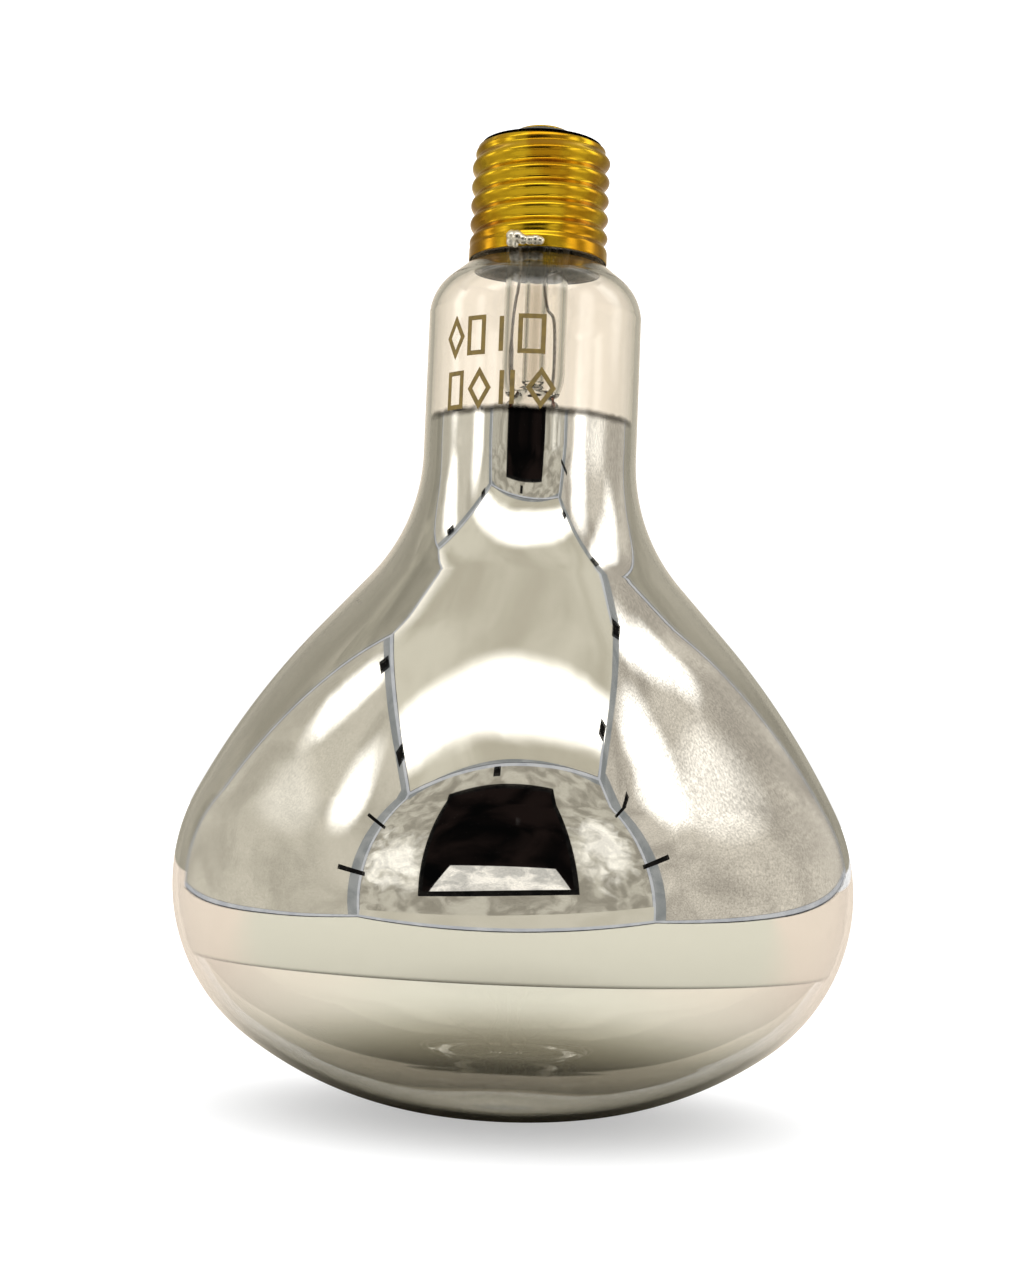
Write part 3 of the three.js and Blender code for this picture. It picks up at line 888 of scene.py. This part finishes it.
wire(
    "side_lead_wire",
    [
        (-LEAD_SPREAD, 0, LEAD_START), (-LEAD_SPREAD - 0.5, -0.4, 140), (-4.1, -0.9, 148),
        (-3.1, -1.4, 157), (-3.2, -3, 161), along_side(5.8, 166.6), along_side(9, 170.2),
        along_side(11.2, 169.6), along_side(11.35, 166), along_side(11.35, 162.5),
    ],
    side_lead_radius, "lead_wire", "side_lead",
)

for side, sign in (("left", -1), ("right", 1)):
    ends = [(sign * LEAD_SPREAD, 0, low("seal_wire_" + side).z), (sign * LEAD_SPREAD, 0, PINCH_TOP + 0.2)]
    wire("seal_wire_in_pinch_" + side, ends, 0.36, "copper_wire", "seal_wire_" + side)


# --- Filament ---

ring_start = -math.pi / 2 + FILAMENT_GAP / 2
ring_sweep = 2 * math.pi - FILAMENT_GAP


def on_ring(angle, radius, height):
    return Vector((radius * math.cos(angle), radius * math.sin(angle), height))


def filament():
    """A fine helix bent round the axis, from one clamp to the other."""
    turns, points_a_turn = 130, 12
    path = []
    for i in range(turns * points_a_turn + 1):
        share = i / (turns * points_a_turn)
        angle = ring_start + ring_sweep * share
        twist = 2 * math.pi * i / points_a_turn
        radius = FILAMENT_RING + COIL_RADIUS * math.cos(twist)
        path.append(on_ring(angle, radius, FILAMENT_HEIGHT + COIL_RADIUS * math.sin(twist)))
    return tube("filament_coil", path, 0.13, 6)


place(filament(), "tungsten", "filament")

for side, sign in (("left", -1), ("right", 1)):
    angle = ring_start - 0.14 if sign > 0 else ring_start + ring_sweep + 0.14
    end = on_ring(angle, FILAMENT_RING, 0)
    clamp_top = FILAMENT_HEIGHT + 2
    wire(
        "inner_lead_wire_" + side,
        [
            (sign * LEAD_SPREAD, 0, PINCH_BOTTOM - 1), (sign * LEAD_SPREAD, 0, 116),
            (sign * 5, -3, 100), (end.x * 1.1, end.y * 0.85, 84), (end.x, end.y, clamp_top + 0.1),
        ],
        0.45, "nickel_wire", "inner_lead_" + side,
    )
    bottom = clamp_top - 4.2
    sleeve = [(0, bottom), (0.62, bottom), (0.72, bottom + 0.2), (0.6, bottom + 1.9)]
    sleeve += [(0.72, clamp_top - 0.4), (0.62, clamp_top - 0.2), (0, clamp_top - 0.2)]
    clamp = turned("clamp_" + side, sleeve, 32, shape=lambda p, end=end: p + end)
    place(clamp, "nickel_wire", "filament_clamp_" + side)

support_top = BUTTON_TOP - 2.2
HOOK_RADIUS = 1.05
HOOK_TURN = -2 * math.pi * 0.85
HOOK_STEPS = 21
for i in range(SUPPORTS):
    angle = ring_start + ring_sweep * (i + 1) / (SUPPORTS + 1)
    arm = smooth_path(
        [
            on_ring(angle, BUTTON_RADIUS + 0.1, support_top), on_ring(angle, 8, support_top - 1),
            on_ring(angle, FILAMENT_RING + 0.4, 78),
            on_ring(angle, FILAMENT_RING + HOOK_RADIUS, FILAMENT_HEIGHT + 0.5),
        ]
    )
    for k in range(1, HOOK_STEPS + 1):
        turn = HOOK_TURN * k / HOOK_STEPS
        around = FILAMENT_RING + HOOK_RADIUS * math.cos(turn)
        arm.append(on_ring(angle + 0.004 * k, around, FILAMENT_HEIGHT + HOOK_RADIUS * math.sin(turn)))
    node = "filament_support_" + str(i + 1)
    place(tube("support_hook_" + str(i + 1), arm, 0.16, 8), "molybdenum", node)


ROD_HOLE, LEAD_HOLE = 2.0, 1.0


def heat_deflector():
    """A thin dished disc with holes for the rod and the two leads."""
    holes = [(0, 0, ROD_HOLE), (-LEAD_SPREAD, -0.1, LEAD_HOLE), (LEAD_SPREAD, -0.1, LEAD_HOLE)]
    radii = [ROD_HOLE + (DEFLECTOR_RADIUS - ROD_HOLE) * i / 44 for i in range(45)]
    pairs = [(r, DEFLECTOR_BOTTOM + 0.25 + 0.12 * smoothstep(r, 15.2, 16.8)) for r in radii]
    made = turned("deflector_disc", pairs[::-1], 180)

    def in_hole(face):
        middle = face.calc_center_median() / MM
        return any(math.hypot(middle.x - x, middle.y - y) < radius for x, y, radius in holes)

    def cut_holes(form):
        bmesh.ops.delete(form, geom=[face for face in form.faces if in_hole(face)], context="FACES")

    reworked(made, cut_holes)
    thicken = made.modifiers.new("thickness", "SOLIDIFY")
    thicken.thickness = 0.2 * MM
    thicken.offset = 0
    return evaluated(made)


place(heat_deflector(), "deflector_aluminium", "heat_deflector")


# --- Camera ---

# The lamp leans clockwise in the view, so the camera and the tent lean the other way.
TILT = math.radians(2.318)
PITCH = math.radians(4.314)
LENS = 58.05
CAMERA_PLACE = Vector((-1.97, -385.8, 58.06))


def camera():
    data = bpy.data.cameras.new("camera")
    data.lens = LENS
    data.sensor_width = 36
    made = linked("camera", data)
    forward = Vector((0, math.cos(PITCH), math.sin(PITCH)))
    level_right = Vector((1, 0, 0))
    level_up = Vector((0, -math.sin(PITCH), math.cos(PITCH)))
    right = level_right * math.cos(TILT) + level_up * math.sin(TILT)
    up = level_up * math.cos(TILT) - level_right * math.sin(TILT)
    turn = Matrix((right, up, -forward)).transposed().to_4x4()
    made.matrix_world = Matrix.Translation(CAMERA_PLACE * MM) @ turn
    bpy.context.scene.camera = made


camera()


# --- Floor and light ---

SKY_LOW, SKY_HIGH = 1.02, 2.4  # how bright the room is at the horizon and overhead


def world():
    """A white room that is brighter overhead, where the tent's lamps are."""
    made = bpy.data.worlds.new("white_room")
    made.use_nodes = True
    nodes, links = made.node_tree.nodes, made.node_tree.links
    split = nodes.new("ShaderNodeSeparateXYZ")
    links.new(nodes.new("ShaderNodeTexCoord").outputs["Generated"], split.inputs[0])
    grade = nodes.new("ShaderNodeMapRange")
    links.new(split.outputs["Z"], grade.inputs[0])
    grade.inputs[3].default_value = SKY_LOW
    grade.inputs[4].default_value = SKY_HIGH
    background = nodes["Background"]
    background.inputs["Color"].default_value = (1, 1, 1, 1)
    links.new(grade.outputs[0], background.inputs["Strength"])
    bpy.context.scene.world = made


def floor(name, height, tone, glow=0.0, size=6000):
    """A pale floor, lit a little from below where glow is over 0. tone is a colour, or a function that
    adds the nodes of one to the floor's material."""
    corners = [(-size, -size, height), (size, -size, height), (size, size, height), (-size, size, height)]
    made = mesh_object(name, corners, [[0, 1, 2, 3]])
    look = Material(name)
    grain = look.ranged(look.noise(220, 3), 0.3, 0.7, 0.985, 1)
    grey = look.node("CombineColor", {0: grain, 1: grain, 2: grain}).outputs[0]
    plain = tone(look) if callable(tone) else tone
    both = look.node("Mix", {0: 1.0, 6: plain, 7: grey}, data_type="RGBA", blend_type="MULTIPLY")
    product = both.outputs[2]
    inputs = {
        "Base Color": product,
        "Roughness": 0.9,
        "Specular IOR Level": 0.0,
        "Emission Color": product,
        "Emission Strength": glow,
    }
    made.data.materials.append(look.finish(look.node("BsdfPrincipled", inputs)))
    return made


def cream_tone(look):
    """Cream cloth with painted light that makes it rosier beside and behind the lamp, and a painted olive
    shadow under and behind it.
    """
    aside = look.maths("ABSOLUTE", look.axis("X"))
    aside = look.ranged(aside, 15 * MM, 100 * MM, 0, 1, smooth=True)
    behind = look.ranged(look.axis("Y"), -40 * MM, 10 * MM, 0, 1, smooth=True)
    # Painted light: the cloth is rosier and brighter beside and behind the lamp.
    painted_side_light = look.maths("MULTIPLY", aside, behind)
    cloth = look.mixed(painted_side_light, (0.44, 0.425, 0.355), (0.50, 0.435, 0.365))
    # Painted shadow: the cloth turns dark olive under and round the lamp.
    away = look.distance((0, -15 * MM, 0), (1, 0.5, 0))
    clear_of_painted_shadow = look.ranged(away, 20 * MM, 74 * MM, 0, 1, smooth=True)
    return look.mixed(clear_of_painted_shadow, (0.17, 0.155, 0.115), cloth)


def hide(made, *rays):
    """Makes an object invisible to some kinds of ray."""
    for kind in rays:
        setattr(made, "visible_" + kind, False)


world()
# The camera sees a white floor; the mirror and the glass see the cream cloth that lies in the tent, with
# its painted shadow and painted light.
seen = floor("floor", -0.05, (0.57, 0.57, 0.57), glow=0.8)
hide(seen, "glossy", "transmission")
cream = floor("floor_sheet", -0.01, cream_tone)
hide(cream, "camera", "diffuse", "shadow")


# --- Photo tent ---

# The tent stands level while the lamp leans, so its pieces hang on an empty that is turned about Y.
tent = linked("tent", None)
tent.rotation_euler.y = -TILT

FRONT = -150
TENT_MIDDLE = Vector((-10, -40, 80))
# Each side's corners: front low, front top, back top, back low.
LEFT = [Vector(p) for p in ((-142, FRONT, 7), (-123, FRONT - 3, 238), (-118, 24, 244), (-128, 62, 38))]
RIGHT = [Vector(p) for p in ((122, FRONT, 8), (109, FRONT - 3, 240), (102, 34, 254), (116, 70, 46))]
left_low, left_top, left_back_top, _ = LEFT
right_low, right_top, right_back_top, _ = RIGHT


def glow_material(name, dark, light, grain, glows=(), pebble=0.0, glow_tint=(1, 0.98, 0.93), ragged=0.15):
    """Lit cloth or foil. grain is the noise scale, and glows are soft bright patches, each its centre,
    its radii, its turn about X in degrees and its level."""
    made = Material(name)
    tone = made.mixed(made.ranged(made.noise(grain, 4, 0.8), 0.35, 0.65, 0, 1, smooth=True), dark, light)
    grit = made.ranged(made.noise(620, 2), 0.3, 0.7, 1 - pebble, 1 + pebble)
    cloth = made.node("Emission", {"Color": tone, "Strength": grit})
    if not glows:
        return made.finish(cloth)
    level = 0.0
    for centre, radii, turn, strength in glows:
        rotation = (math.radians(turn), 0, 0)
        distance = made.distance(Vector(centre) * MM, Vector(radii) * MM, rotation, vector_type="TEXTURE")
        torn = made.ranged(made.noise(grain * 0.8, 3, 1.0), 0.3, 0.7, -ragged, ragged)
        edge = made.maths("ADD", distance, torn)
        level = made.maths("ADD", made.ranged(edge, 0.3, 1.05, strength, 0, smooth=True), level)
    level = made.maths("MULTIPLY", made.maths("POWER", grit, 2.0), level)
    glow = made.node("Emission", {"Color": glow_tint, "Strength": level})
    return made.finish(made.node("AddShader", {0: cloth.outputs[0], 1: glow.outputs[0]}))


def hang(made, material):
    """Hangs a piece of the tent where only the mirror and the glass see it, and it casts nothing."""
    made.data.materials.append(material)
    made.parent = tent
    hide(made, "camera", "diffuse", "shadow")
    return made


def panel(name, corners, material):
    return hang(mesh_object(name, corners, [list(range(len(corners)))]), material)


TOP_GLOW = -101  # how far back the lamps in the roof are
left_foil = glow_material(
    "left_foil", (0.50, 0.465, 0.38), (0.66, 0.615, 0.51), 16,
    [
        ((-128, -8, 205), (80, 24, 66), 4, 2.0), ((-128, -88, 165), (80, 28, 66), -16, 1.6),
        ((-128, -35, 120), (80, 50, 36), 0, 0.3),
    ],
    pebble=0.1,
)
right_foil = glow_material(
    "right_foil", (0.46, 0.42, 0.355), (0.70, 0.645, 0.55), 16,
    [
        ((110, -6, 208), (80, 27, 66), 6, 2.0), ((110, -80, 172), (80, 32, 76), -18, 1.7),
        ((110, -45, 118), (80, 44, 42), 0, 0.5),
    ],
    pebble=0.24,
)
top_cloth = glow_material(
    "top_cloth", (0.54, 0.50, 0.395), (0.72, 0.68, 0.555), 12,
    [((-15, TOP_GLOW, 235), (400, 38, 400), 0, 2.2), ((-10, 46, 250), (400, 40, 400), 0, 1.0)],
    ragged=0.12,
)
front_foil = glow_material(
    "front_foil", (0.33, 0.305, 0.245), (0.60, 0.565, 0.47), 55,
    [((-96, FRONT, 88), (42, 60, 50), 0, 0.6), ((72, FRONT, 105), (36, 60, 52), 0, 0.6)],
    pebble=0.08, ragged=0.4,
)
border_cloth = glow_material("border_cloth", (0.25, 0.265, 0.265), (0.36, 0.37, 0.365), 30)
piping_cloth = glow_material("piping_cloth", (0.50, 0.515, 0.55), (0.62, 0.63, 0.65), 60)
seam_shade = glow_material("seam_shade", (0.035, 0.035, 0.035), (0.10, 0.10, 0.10), 60)
black_tape = glow_material("black_tape", (0.004, 0.004, 0.004), (0.012, 0.011, 0.010), 90)
dark_room = glow_material("dark_room", (0.002, 0.002, 0.002), (0.012, 0.008, 0.007), 12)
cream_strip = glow_material("cream_strip", (0.60, 0.56, 0.455), (0.67, 0.63, 0.52), 20)
back_sheet = glow_material(
    "back_sheet", (0.36, 0.335, 0.265), (0.50, 0.465, 0.375), 8,
    [((0, 170, 176), (105, 400, 140), 0, 0.52)], glow_tint=(1, 0.84, 0.70), ragged=0.05,
)
back_side = glow_material("back_side", (0.30, 0.28, 0.22), (0.46, 0.43, 0.34), 9)
flap_foil = glow_material("flap_foil", (0.62, 0.60, 0.55), (1.1, 1.05, 0.95), 60, pebble=0.15)

panel("tent_left", LEFT, left_foil)
panel("tent_right", RIGHT, right_foil)
panel("tent_top", [left_top, right_top, right_back_top, left_back_top], top_cloth)


def panel_ring(name, outside, inside, material):
    """Four panels between an outer and an inner line of four corners."""
    for i in range(4):
        k = (i + 1) % 4
        panel(name + str(i + 1), [outside[i], outside[k], inside[k], inside[i]], material)


# The front has an opening, with a black frame round it and a foil flap folded outwards at its foot.
OPENING = [Vector(p) for p in ((-66, FRONT, 40), (46, FRONT, 45), (43, FRONT, 197), (-60, FRONT, 200))]
panel_ring("tent_front_", [left_low, right_low, right_top, left_top], OPENING, front_foil)
BEHIND = Vector((0, 1, 0))
middle = sum(OPENING, Vector()) / 4
edge_outside = [p + BEHIND for p in OPENING]
edge_inside = [middle + (p - middle) * 0.93 + BEHIND for p in OPENING]
panel_ring("opening_frame_", edge_outside, edge_inside, black_tape)
panel("dark_room", [p + Vector(((p.x + 9) * 3, -90, (p.z - 105) * 3)) for p in OPENING], dark_room)
FLAP = [(-62, FRONT - 1, 37), (45, FRONT - 1, 40), (38, FRONT - 30, 80), (-52, FRONT - 30, 84)]
panel("tent_flap", FLAP, flap_foil)
STRIP = [(-140, FRONT + 2, 6), (121, FRONT + 2, 7), (119, FRONT + 2, 29), (-136, FRONT + 2, 18)]
panel("front_strip", STRIP, cream_strip)

# Behind the lamp the tent opens into a wider space: a back sheet, two sides and a sloping roof.
SHEET_X, SHEET_Y, SHEET_LOW, SHEET_TOP = 260, 170, 45, 330
SIDE_LOW = 36
ROOF_Y, ROOF_LOW = -60, 270


def across(y, z):
    """The two points of the wide space at a depth and height, left and right."""
    return [(-SHEET_X, y, z), (SHEET_X, y, z)]


top_line = across(SHEET_Y, SHEET_TOP)
panel("back_sheet", [*across(SHEET_Y, SHEET_LOW), *top_line[::-1]], back_sheet)
panel("back_roof", [*top_line, *across(ROOF_Y, ROOF_LOW)[::-1]], back_side)
for side, x in (("left", -SHEET_X), ("right", SHEET_X)):
    far = [(x, ROOF_Y, SIDE_LOW), (x, SHEET_Y, SIDE_LOW), (x, SHEET_Y, SHEET_TOP)]
    panel("back_side_" + side, [*far, (x, ROOF_Y, ROOF_LOW)], back_side)


def seam(name, a, b, sag=0.0, radius=1.35, steps=24):
    """A seam with pale piping over a dark tube of painted shade, and a little slack."""
    slack = [Vector((0, 0, -sag * math.sin(math.pi * i / steps))) for i in range(steps + 1)]
    path = [a.lerp(b, i / steps) + drop for i, drop in enumerate(slack)]
    lift = (TENT_MIDDLE - (a + b) / 2).normalized() * 2.5
    hang(tube(name + "_shade", [p + lift * 0.35 for p in path], radius * 1.45, 12), seam_shade)
    hang(tube(name, [p + lift for p in path], radius, 12), piping_cloth)


def border(name, a, b, into_a, into_b, width):
    """A strip of cloth along a seam from a to b, as wide as width towards two other corners."""
    inner_a = a + (into_a - a).normalized() * width
    inner_b = b + (into_b - b).normalized() * width
    lift = (TENT_MIDDLE - (a + b) / 2).normalized()
    panel(name, [p + lift for p in (a, b, inner_b, inner_a)], border_cloth)


seam("seam_front_top", left_top, right_top, sag=9)
seam("seam_front_low", left_low, right_low, radius=1.7)
seam("seam_back_top", left_back_top, right_back_top, radius=1.2)
border("border_front_top", left_top, right_top, left_low, right_low, 10)
for side, corners, top_sag in (("left", LEFT, 0), ("right", RIGHT, -6)):
    front_low, front_top, back_top, back_low = corners
    seam("seam_front_" + side, front_low, front_top)
    seam("seam_top_" + side, front_top, back_top, sag=top_sag, radius=1.6)
    seam("seam_low_" + side, front_low, back_low)
    seam("seam_back_" + side, back_low, back_top, radius=1.2)
    border("border_" + side + "_front", front_low, front_top, back_low, back_top, 15)
    border("border_" + side + "_top", front_top, back_top, front_low, back_low, 12)


def clip(name, at, along, length=34, width=6, side=(0, 0, 1)):
    """A short black tape that runs from a seam over the cloth beside it."""
    at, along, side = Vector(at), Vector(along).normalized(), Vector(side)
    lift = (TENT_MIDDLE - at).normalized() * 6
    near, far = -0.1 * length, 0.9 * length
    corners = [(near, -width / 2), (far, -width / 2), (far, width / 2), (near, width / 2)]
    panel(name, [at + lift + along * u + side * v for u, v in corners], black_tape)


clip("clip_top", (-12, FRONT, 221), (0, 0.1, -1), 16, 7, side=(1, 0, 0))
clip("clip_left_high", (-124, FRONT, 147), (0, 1, 0.15))
clip("clip_left_low", (-134, FRONT, 68), (0, 1, 0.1))
clip("clip_right_high", (108, FRONT, 174), (0, 1, 0.15))
clip("clip_right_low", (115, FRONT, 82), (0, 1, 0.12))
for depth in (-112, -14):
    clip("clip_roof_left_" + str(-depth), (-116, depth, 226), (0, 1, 0), 15, 14)
    clip("clip_roof_right_" + str(-depth), (101, depth, 238), (0, 1, 0), 15, 14)

bpy.context.scene.view_settings.view_transform = "Standard"
